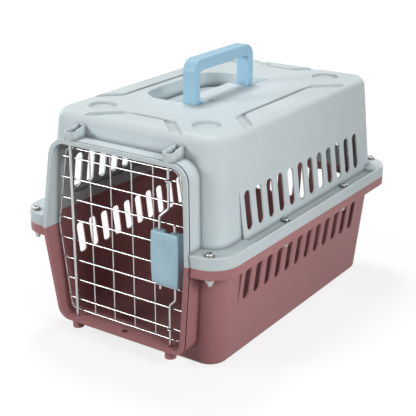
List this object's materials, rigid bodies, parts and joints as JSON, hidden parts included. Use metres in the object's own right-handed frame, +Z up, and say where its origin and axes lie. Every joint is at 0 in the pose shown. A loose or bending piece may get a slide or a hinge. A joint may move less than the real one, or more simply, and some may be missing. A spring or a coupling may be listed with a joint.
{
  "type": "pet carrier",
  "caption": "Two-part moulded pet carrier with a wire grille door, a sprung two-rod latch, a bolted flange, vent slots and a handle that folds into the roof.",
  "frame": {"origin": "middle of the base, on the surface that the carrier stands on", "axes": "+X to the right seen from the door, +Y from the door to the back, +Z up"},
  "size_m": [0.32, 0.463, 0.3567],
  "materials": {
    "lower_plastic": "fine moulded grain, satin",
    "upper_plastic": "fine moulded grain, satin",
    "handle_plastic": "smooth satin",
    "latch_plastic": "smooth satin",
    "wire_steel": "bright plated wire",
    "plated_steel": "bright zinc plate"
  },
  "bodies": {
    "carcass": {"lower_shell": "lower_plastic", "upper_shell": "upper_plastic", "flange_bolts": "plated_steel", "bolt_washers": "plated_steel", "wing_nuts": "plated_steel"},
    "door": {"door_perimeter_wire": "wire_steel", "door_cross_wire_1": "wire_steel", "door_cross_wire_2": "wire_steel", "door_cross_wire_3": "wire_steel", "door_cross_wire_4": "wire_steel", "door_cross_wire_5": "wire_steel", "door_cross_wire_6": "wire_steel", "door_cross_wire_7": "wire_steel", "door_cross_wire_8": "wire_steel", "door_upright_wire_1": "wire_steel", "door_upright_wire_2": "wire_steel", "door_upright_wire_3": "wire_steel", "door_upright_wire_4": "wire_steel", "door_hinge_rod": "wire_steel", "upper_rod_guide": "wire_steel", "lower_rod_guide": "wire_steel"},
    "latch_upper": {"upper_latch_rod": "wire_steel", "latch_front_slider": "latch_plastic"},
    "latch_lower": {"lower_latch_rod": "wire_steel", "latch_rear_slider": "latch_plastic", "latch_spring": "wire_steel"},
    "handle": {"carry_handle": "handle_plastic"}
  },
  "joints": [
    {"name": "door_swing", "type": "hinge", "parent": "carcass", "child": "door", "pos_m": [-0.0755, -0.215, 0.15], "axis": [0, 0, -1], "range_deg": [0, 120]},
    {"name": "upper_rod_slide", "type": "slide", "parent": "door", "child": "latch_upper", "axis": [0, 0, -1], "range_m": [0, 0.01], "stiffness_N_per_m": 200, "springref_m": -0.02, "deforming": ["latch_spring"]},
    {"name": "lower_rod_slide", "type": "slide", "parent": "door", "child": "latch_lower", "axis": [0, 0, 1], "range_m": [0, 0.01], "stiffness_N_per_m": 200, "springref_m": -0.02},
    {"name": "handle_fold", "type": "hinge", "parent": "carcass", "child": "handle", "pos_m": [0.00795, 0, 0.28975], "axis": [0, -1, 0], "range_deg": [0, 90]}
  ]
}
